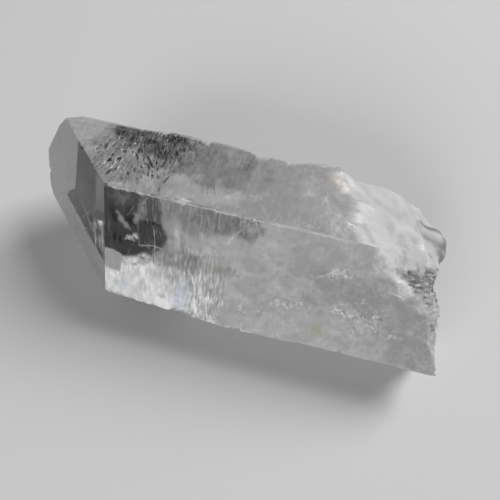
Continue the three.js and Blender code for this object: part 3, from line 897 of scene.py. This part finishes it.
# Stains and painted glints: name, face, station, across, half length, half width, strength.
# Tan and olive are the stone's own stains; the blue spots, with the small tan one at station 1.7
# beside them, are painted glints, a rainbow of light caught in a fracture.
STAINS_AND_GLINTS = [
    ("tan", "prism 1", 37, 2.6, 1.1, 0.8, 0.55),
    ("tan", "prism 1", 35.6, 2, 0.9, 0.6, 0.3),
    ("tan", "prism 2", 1.7, 19.1, 0.35, 0.4, 0.5),
    ("olive", "prism 2", 39, 17.9, 0.8, 1.7, 0.55),
    ("olive", "prism 2", 20.4, 11.2, 2.4, 0.5, 0.35),
    ("blue", "prism 2", 14.4, 19, 1.5, 3, 0.35),
    ("blue", "prism 2", 3.6, 18.6, 0.9, 0.8, 0.5),
    ("blue", "prism 2", 2.4, 19.6, 0.4, 0.4, 0.5),
]


def face_places(points):
    """Which face each point lies on, and its station and distance across on that face."""
    fields, places = {}, {}
    for face in WALK:
        fields[f"prism {face}"] = prism_field(points, face)
        places[f"prism {face}"] = prism_place(points, face)
    for face in TIP_STATIONS:
        fields[f"tip {face}"] = tip_field(points, face)
        places[f"tip {face}"] = tip_place(points, face)
    fields["break"] = break_field(points)
    places["break"] = (points[:, 1], points[:, 2])
    nearest = np.argmax(np.stack(list(fields.values())), axis=0)
    rows = {name: np.flatnonzero(nearest == number) for number, name in enumerate(fields)}
    along, across = np.stack(list(places.values()), axis=1)[:, nearest, np.arange(len(points))]
    return nearest, rows, along, across


def patch_share(u, v, place, soft, seed):
    """How far each point lies inside a ragged ellipse, or nearly a box, from 0 to 1."""
    u0, v0, length, width, degrees = place
    along, aside = turned(u - u0, v - v0, math.radians(degrees))
    power = BOX_POWER if soft < FIRM_RIM else ELLIPSE_POWER
    reach = (abs(along / length) ** power + abs(aside / width) ** power) ** (1.0 / power)
    outside = (reach - 1.0) * min(length, width)
    grain = min(max(1.2 * min(length, width), 0.6), 1.8)
    return fall(outside + RAGGEDNESS * soft * fractal(u / grain, v / grain, seed), -soft, soft)


def line_side(u, v, line):
    """Signed distance to a line through a few points."""
    best = np.full(len(u), np.inf)
    side = np.full(len(u), np.inf)
    for (u1, v1), (u2, v2) in zip(line, line[1:]):
        length = math.hypot(u2 - u1, v2 - v1)
        du, dv = (u2 - u1) / length, (v2 - v1) / length
        along = np.clip((u - u1) * du + (v - v1) * dv, 0, length)
        distance = np.hypot(u - u1 - along * du, v - v1 - along * dv)
        cross = (u - u1) * dv - (v - v1) * du
        side = np.where(distance < best, np.where(cross < 0, -distance, distance), side)
        best = np.minimum(distance, best)
    return side


def strewn_lines(start, end, low, high, count, width, strength, spread, seed):
    numbers = np.random.default_rng(seed)
    for _ in range(count):
        u, v = numbers.uniform(start, end), numbers.uniform(low, high)
        turn = math.radians(90 + numbers.normal(0, spread))
        reach = numbers.uniform(*STREWN_REACH)
        du, dv = reach * math.cos(turn), reach * math.sin(turn)
        faintness = numbers.uniform(*STREWN_FAINTNESS)
        yield width, strength * faintness, (u - du, v - dv), (u + du, v + dv)


def all_strokes():
    """The listed strokes of every face, then the strewn ones."""
    for face, strokes in STROKES.items():
        for stroke in strokes:
            yield face, *stroke
    for face, areas in STREWN.items():
        for area in areas:
            for stroke in strewn_lines(*area):
                yield face, *stroke


def paint_patches(masks, rows, along, across):
    def share_on(face, place, soft, seed):
        here = rows[face]
        return here, patch_share(along[here], across[here], place, soft, seed)

    for face, patches in PATCHES.items():
        for number, (*place, soft, cloud, tone, sparkle) in enumerate(patches):
            here, share = share_on(face, place, soft, 100 + number)
            for name, value in zip(LOOKS, (cloud, tone, sparkle)):
                masks[name][here] += share * (value - masks[name][here])
    for tint, face, *place, strength in STAINS_AND_GLINTS:
        here, share = share_on(face, (*place, 0), STAIN_AND_GLINT_RIM, 140)
        masks[tint][here] = np.maximum(masks[tint][here], strength * share)
    for face, *place in GRAIN_FIELDS:
        here, share = share_on(face, (*place, 0), GRAIN_RIM, 150)
        masks["grain"][here] = np.maximum(masks["grain"][here], share)


def paint_strokes(masks, rows, along, across):
    """Marks each line by the signed distance to it, scaled so that its rim lies at 1."""
    shift, cell = LINE_WOBBLE
    u = along + shift * fractal(along / cell, across / cell, 31)
    v = across + shift * fractal(along / cell, across / cell, 32)
    for face, width, strength, *line in all_strokes():
        here = rows[face]
        side = line_side(u[here], v[here], line) / (LINE_WEIGHT * width)
        close = abs(side) < np.minimum(LINE_REACH / width, abs(masks["side"][here]))
        masks["side"][here[close]] = side[close]
        masks["streak"][here[close]] = strength


def paint_bruises(masks, points):
    """Clouds the stone where its edges are bitten away."""
    sides = {face: prism_field(points, face) for face in WALK}
    near = bite_field(points, sides) - np.maximum.reduce(list(sides.values()))
    share = 1.0 - fall(near, *BRUISE_RIM)
    for name, value in zip(LOOKS, BRUISE_LOOK):
        masks[name] += share * (np.maximum(value, masks[name]) - masks[name])


def paint_masks(mesh, points):
    """Gives every vertex the masks that the material reads, and its place on its face."""
    nearest, rows, along, across = face_places(points)
    masks = {name: np.full(len(points), value) for name, value in zip(LOOKS, BODY_LOOK)}
    stray, cell, seed = CLOUDING_DRIFT
    drift = stray * fractal(points[:, 1] / cell, points[:, 2] / cell, seed)
    masks["cloud"] += fall(points[:, 0] + drift, *CLOUDING) * (CLEAR_CLOUD - masks["cloud"])
    for name in ("streak", "grain", *STAIN_AND_GLINT_COLOURS):
        masks[name] = np.zeros(len(points))
    masks["side"] = np.full(len(points), NO_LINE)
    masks["facet"] = np.ones(len(points))
    broken = rows["break"]
    for name, value in zip((*LOOKS, "facet"), (*BREAK_LOOK, 0.0)):
        masks[name][broken] = value
    paint_patches(masks, rows, along, across)
    paint_strokes(masks, rows, along, across)
    paint_bruises(masks, points)
    along[broken], across[broken] = turned(along[broken], across[broken], STEP_TURN)
    place = np.stack([along, across, FACE_SPACING * nearest], axis=1)
    for name, values in masks.items():
        layer = mesh.attributes.new(name, "FLOAT", "POINT")
        layer.data.foreach_set("value", values.astype(np.float32))
    layer = mesh.attributes.new("place", "FLOAT_VECTOR", "POINT")
    layer.data.foreach_set("vector", place.astype(np.float32).ravel())


# ---- The quartz ----

IOR = 1.544
ABSORPTION = 108.0  # per metre
ABSORBING_COLOUR = (0.5, 0.5, 0.51, 1)
CLEAR_COLOUR = (0.97, 0.97, 0.98, 1)
DARK_SHADE = 0.01  # of dark lines, and of the pits' painted shade
SUBSURFACE = {
    "Subsurface Weight": 0.4,
    "Subsurface Radius": (1, 1, 1),
    "Subsurface Scale": 0.0015,
}
RELIEF = 0.0002  # metres, the height of the bumps
FACE_SPACING = 20.0  # keeps the noise of two faces apart
NOISES = {  # stretch, detail, distortion
    "blotches": ((0.2, 0.24, 1.0), 5.0, 1.0),
    "mottle": ((0.9, 0.8, 1.0), 6.0, 0.6),
    "striae": ((3.0, 0.2, 1.0), 3.0, 0.0),
    "slivers": ((2.4, 0.42, 1.0), 5.0, 0.0),
    "crumbs": ((1.7, 1.5, 1.0), 5.0, 0.5),
    "swirls": ((0.3, 0.26, 1.0), 3.0, 0.4),
}
MOST_NOISE = (0.3, 0.7)  # the range that most of a noise's values are in
CLOUD_SWING = {"mottle": 0.12, "blotches": 0.2}
TONE_SWING = {"blotches": 0.065, "mottle": 0.035, "striae": 0.02}
# Each of these pairs turns one range of a value into another.
GLINT = ((0.54, 0.66), (0.0, 1.0))  # painted glints, from the glitter
UNEVENNESS = ((0.35, 0.65), (-0.4, 0.4))  # from the glitter, of the tone
WISP = ((0.0, 0.035), (1.0, 0.0))  # from how far the swirls are off their middle
VEIL = ((0.48, 0.6), (0.0, 0.2))  # from the blotches
PIT_SIZE = ((0.2, 0.8), (0.24, 0.68))  # from a pit's random colour
PIT = ((0.6, 1.0), (1.0, 0.0))  # from the distance to its middle
RIM = ((0.0, 0.25), (0.35, 0.0))  # from the distance to its rim
PITTED = ((0.32, 0.46), (0.3, 1.0))  # from the mottle
LINE = ((0.2, 1.0), (1.0, 0.0))  # from the distance to a line
LINE_GAPS = ((0.36, 0.5), (0.25, 1.0))  # from the mottle
POLISH = ((0.0, 1.0), (0.03, 0.36))  # roughness, from the cloud
MATTE = ((1.0, 0.0), (0.0, 0.2))  # roughness that the break adds
CHIPS = ((0.0, 1.0), (0.03, 0.4))  # strength of the bumps, from the sparkle
RIM_PLACE = 1.1
PIT_BUMP = 0.5
PIT_WOBBLE = {"scale": 0.9, "shift": (0.8, 0.8, 0.8)}
MARKING = 0.95  # how far a white or dark mark stops the light
WHITENING = 0.5  # how much a white mark adds to the tone
# Glitter lies in slivers between these stations and in crumbs beyond them, on the faces.
SLIVERS_FROM = (-4.0, 0.0)
SLIVERS_UNTIL = (22.0, 30.0)
GRAIN_SIZE = (1.8, 0.6, 1.0)  # millimetres along and across a pit
GRAIN_SLANTS = (106.0, 52.0)  # degrees, on the tip's side and behind it
GRAIN_TURN = (0.5, 2.5)  # stations between which the slant changes
# Tan and olive colour stains; blue colours painted glints of light.
STAIN_AND_GLINT_COLOURS = {
    "tan": (0.6, 0.49, 0.36, 1),
    "olive": (0.4, 0.38, 0.24, 1),
    "blue": (0.6, 0.7, 0.88, 1),
}


class Graph:
    """A material and its nodes. A node's input is a value or another node's socket."""

    def __init__(self, name):
        self.material = bpy.data.materials.new(name)
        self.material.use_nodes = True
        self.tree = self.material.node_tree
        self.shader = self.tree.nodes["Principled BSDF"]

    def set_inputs(self, node, inputs):
        """Sets or links a node's inputs, which are called by number or by name."""
        named = {socket.name: socket for socket in node.inputs if socket.enabled}
        for key, value in inputs.items():
            socket = node.inputs[key] if isinstance(key, int) else named[key]
            if isinstance(value, bpy.types.NodeSocket):
                self.tree.links.new(value, socket)
            else:
                socket.default_value = value

    def add(self, kind, inputs, **settings):
        """A new node's outputs."""
        node = self.tree.nodes.new(kind)
        for name, value in settings.items():
            setattr(node, name, value)
        self.set_inputs(node, inputs)
        return node.outputs

    def attribute(self, name, output="Fac"):
        return self.add("ShaderNodeAttribute", {}, attribute_name=name)[output]

    def math(self, operation, result, *others):
        """An operation on two values, then on its result and the next value, and so on."""
        for other in others:
            result = self.add("ShaderNodeMath", {0: result, 1: other}, operation=operation)[0]
        return result

    def product(self, *values):
        return self.math("MULTIPLY", *values)

    def largest(self, *values):
        return self.math("MAXIMUM", *values)

    def distance(self, value, middle):
        return self.math("ABSOLUTE", self.math("SUBTRACT", value, middle), 0.0)

    def remap(self, value, old, new):
        """Changes one range of values into another, and keeps to its ends."""
        limits = {"From Min": old[0], "From Max": old[1], "To Min": new[0], "To Max": new[1]}
        return self.add("ShaderNodeMapRange", {"Value": value, **limits})[0]

    def sway(self, noise, middle, swing):
        """A noise turned into a value that swings about a middle."""
        return self.remap(noise, MOST_NOISE, (middle - swing, middle + swing))

    def noise(self, place, stretch, detail, distortion):
        scaled = self.add("ShaderNodeMapping", {"Vector": place, "Scale": stretch})[0]
        inputs = {"Vector": scaled, "Scale": 1.0, "Detail": detail, "Distortion": distortion}
        return self.add("ShaderNodeTexNoise", inputs)["Fac"]

    def blend(self, share, first, second, kind="FLOAT"):
        """A mix of two numbers, or with kind RGBA of two colours."""
        inputs = {"Factor": share, "A": first, "B": second}
        outputs = self.add("ShaderNodeMix", inputs, data_type=kind)
        return next(socket for socket in outputs if socket.enabled)

    def bump(self, height, strength, **below):
        inputs = {"Height": height, "Strength": strength, "Distance": RELIEF, **below}
        return self.add("ShaderNodeBump", inputs)[0]


def pit_distance(graph, place, degrees):
    """Distance from the middle of lozenges of many sizes, all leaning alike; their rim is at 1."""
    inputs = {"Vector": place, "Scale": PIT_WOBBLE["scale"]}
    wobble = graph.add("ShaderNodeTexNoise", inputs)["Color"]
    inputs = {0: wobble, 1: PIT_WOBBLE["shift"], 2: place}
    bent = graph.add("ShaderNodeVectorMath", inputs, operation="MULTIPLY_ADD")[0]
    inputs = {"Vector": bent, "Rotation": (0, 0, math.radians(degrees)), "Scale": GRAIN_SIZE}
    leaning = graph.add("ShaderNodeMapping", inputs, vector_type="TEXTURE")[0]
    settings = {"distance": "MANHATTAN", "voronoi_dimensions": "2D"}
    cells = graph.add("ShaderNodeTexVoronoi", {"Vector": leaning, "Scale": 1.0}, **settings)
    size = graph.remap(cells["Color"], *PIT_SIZE)
    return graph.math("DIVIDE", cells["Distance"], size)


def grain_marks(graph, place, station, mottle):
    """How dark each point is as part of an etch pit, a painted shade, and how pale on a pit's rim."""
    pits = [pit_distance(graph, place, degrees) for degrees in GRAIN_SLANTS]
    off_pit = graph.blend(graph.remap(station, GRAIN_TURN, (0.0, 1.0)), *pits)
    grain = graph.product(graph.attribute("grain"), graph.remap(mottle, *PITTED))
    pit = graph.product(graph.remap(off_pit, *PIT), grain)
    rim = graph.remap(graph.distance(off_pit, RIM_PLACE), *RIM)
    return pit, graph.product(rim, grain)


def line_marks(graph, mottle):
    """How strongly a pale and a dark line show, both broken up by the mottle."""
    line = graph.remap(graph.distance(graph.attribute("side"), 0.0), *LINE)
    line = graph.product(line, graph.remap(mottle, *LINE_GAPS))
    streak = graph.attribute("streak")
    return [graph.product(line, graph.remap(streak, (0.0, sign), (0.0, 1.0))) for sign in (1.0, -1.0)]


def glitter_noise(graph, station, facet, slivers, crumbs):
    ends = [(SLIVERS_FROM, (1.0, 0.0)), (SLIVERS_UNTIL, (0.0, 1.0))]
    beyond = graph.largest(*(graph.remap(station, *end) for end in ends))
    return graph.blend(graph.product(beyond, facet), slivers, crumbs)


def surface_inputs(graph, cloud, sparkle, facet, glitter, pit):
    """Smoother where it is clear, matte on the break, and rough with pits and chips."""
    roughness = graph.math("ADD", graph.remap(cloud, *POLISH), graph.remap(facet, *MATTE))
    pitted = graph.bump(graph.math("SUBTRACT", 1.0, pit), PIT_BUMP)
    normal = graph.bump(glitter, graph.remap(sparkle, *CHIPS), Normal=pitted)
    return {"Roughness": roughness, "Normal": normal}


def add_absorption(graph):
    inputs = {"Color": ABSORBING_COLOUR, "Density": ABSORPTION}
    volume = graph.add("ShaderNodeVolumeAbsorption", inputs)["Volume"]
    graph.set_inputs(graph.tree.nodes["Material Output"], {"Volume": volume})


def quartz_material():
    graph = Graph("quartz")
    place = graph.attribute("place", "Vector")
    station = graph.add("ShaderNodeSeparateXYZ", {"Vector": place})["X"]
    cloud, tone, sparkle, facet = (graph.attribute(name) for name in (*LOOKS, "facet"))
    noises = {name: graph.noise(place, *settings) for name, settings in NOISES.items()}
    blotches, mottle, _, slivers, crumbs, swirls = noises.values()
    glitter = glitter_noise(graph, station, facet, slivers, crumbs)
    pit, rim = grain_marks(graph, place, station, mottle)
    pale_line, dark_line = line_marks(graph, mottle)

    # Glints are painted highlights: bright specks of the colour where the glitter noise peaks, as
    # strong as the sparkle.
    glints = graph.product(graph.remap(glitter, *GLINT), sparkle)
    wisps = graph.remap(graph.distance(swirls, 0.5), *WISP)
    veil = graph.product(wisps, graph.remap(blotches, *VEIL), facet)
    # White marks: pale lines, some of them painted highlights, with veils, pit rims and the painted
    # glints.
    white = graph.largest(pale_line, graph.product(graph.largest(glints, veil, rim), cloud))
    # The pits' darkness is painted shade; the dark lines are drawn marks.
    dark = graph.largest(dark_line, pit)
    changes = [graph.sway(noises[name], 1.0, swing) for name, swing in CLOUD_SWING.items()]
    varied = graph.product(cloud, *changes)
    marked = graph.product(graph.largest(white, dark), MARKING)
    clear = graph.remap(graph.largest(varied, marked), (0.0, 1.0), (1.0, 0.0))

    changes = {name: graph.sway(noises[name], 0.0, swing) for name, swing in TONE_SWING.items()}
    changes["striae"] = graph.product(changes["striae"], facet)
    changes["uneven"] = graph.product(graph.remap(glitter, *UNEVENNESS), sparkle)
    changes["white"] = graph.product(white, WHITENING)
    shade = graph.blend(dark, graph.math("ADD", tone, *changes.values()), DARK_SHADE)
    colour = graph.add("ShaderNodeCombineColor", {0: shade, 1: shade, 2: shade})[0]
    # Stains, and the painted blue glints, tint the colour.
    for name, tint in STAIN_AND_GLINT_COLOURS.items():
        colour = graph.blend(graph.attribute(name), colour, tint, "RGBA")

    inputs = surface_inputs(graph, cloud, sparkle, facet, glitter, pit)
    inputs["Base Color"] = graph.blend(clear, colour, CLEAR_COLOUR, "RGBA")
    inputs["Transmission Weight"] = clear
    graph.set_inputs(graph.shader, inputs | {"IOR": IOR} | SUBSURFACE)
    add_absorption(graph)
    return graph.material


# ---- Stage, light and camera ----

CAMERA_AZIMUTH = math.radians(15.74)
CAMERA_ELEVATION = math.radians(60.83)
CAMERA_FROM_SHOULDER = (36.473, -42.118, 68.049)
SENSOR_WIDTH = 36.0
FOCAL_LENGTH = 518.0 / 500.0 * SENSOR_WIDTH  # the photo is 500 pixels wide
FLOOR_SIZE = 4.0  # metres
FLOOR_GREY = (0.6, 0.6, 0.6, 1)
WORLD_STRENGTH = 0.12
LIGHTS = {  # place, width and height in metres, watts
    "key": ((0.7, 0.66, 1.0), (0.7, 0.7), 17.6),
    "fill": ((-0.3, -1.4, 0.8), (1.0, 0.6), 12.8),
}


def floor_material():
    graph = Graph("pale_floor")
    graph.set_inputs(graph.shader, {"Base Color": FLOOR_GREY, "Roughness": 0.9})
    return graph.material


def add_floor():
    bpy.ops.mesh.primitive_plane_add(size=FLOOR_SIZE, location=(0, 0, 0))
    floor = bpy.context.object
    floor.name = "floor"
    floor.data.materials.append(floor_material())
    return floor


def add_camera(origin):
    camera_data = bpy.data.cameras.new("camera")
    camera_data.lens = FOCAL_LENGTH
    camera_data.sensor_width = SENSOR_WIDTH
    camera_data.clip_start = 0.005
    camera = add_object("camera", camera_data)
    camera.location = origin + MM * Vector(CAMERA_FROM_SHOULDER)
    camera.rotation_euler = (math.pi / 2 - CAMERA_ELEVATION, 0, CAMERA_AZIMUTH)
    bpy.context.scene.camera = camera


def add_light(name, location, size, power):
    """An area light that points at the origin."""
    light_data = bpy.data.lights.new(name, "AREA")
    light_data.shape = "RECTANGLE"
    light_data.size, light_data.size_y = size
    light_data.energy = power
    light = add_object(name, light_data)
    light.location = location
    light.rotation_euler = (-Vector(location)).to_track_quat("-Z", "Y").to_euler()


def set_world():
    world = bpy.data.worlds.new("studio")
    world.use_nodes = True
    background = world.node_tree.nodes["Background"]
    background.inputs["Color"].default_value = (1, 1, 1, 1)
    background.inputs["Strength"].default_value = WORLD_STRENGTH
    bpy.context.scene.world = world


# ---- The scene ----


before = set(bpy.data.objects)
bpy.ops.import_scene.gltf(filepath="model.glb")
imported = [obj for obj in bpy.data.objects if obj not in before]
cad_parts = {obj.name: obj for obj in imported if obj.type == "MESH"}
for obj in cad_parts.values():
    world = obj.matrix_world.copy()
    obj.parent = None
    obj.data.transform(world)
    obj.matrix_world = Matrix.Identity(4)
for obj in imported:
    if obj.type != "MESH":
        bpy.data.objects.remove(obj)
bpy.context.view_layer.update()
node_low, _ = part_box("quartz_crystal")
shoulder = node_low + MM * Vector(SHOULDER_IN_BOX)
crystal = build_crystal(shoulder)
crystal.data.materials.append(quartz_material())
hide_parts("quartz_crystal")
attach(crystal, "root")
add_floor()
set_world()
for name, light in LIGHTS.items():
    add_light(name, *light)
bpy.context.scene.view_settings.view_transform = "Standard"
add_camera(shoulder)
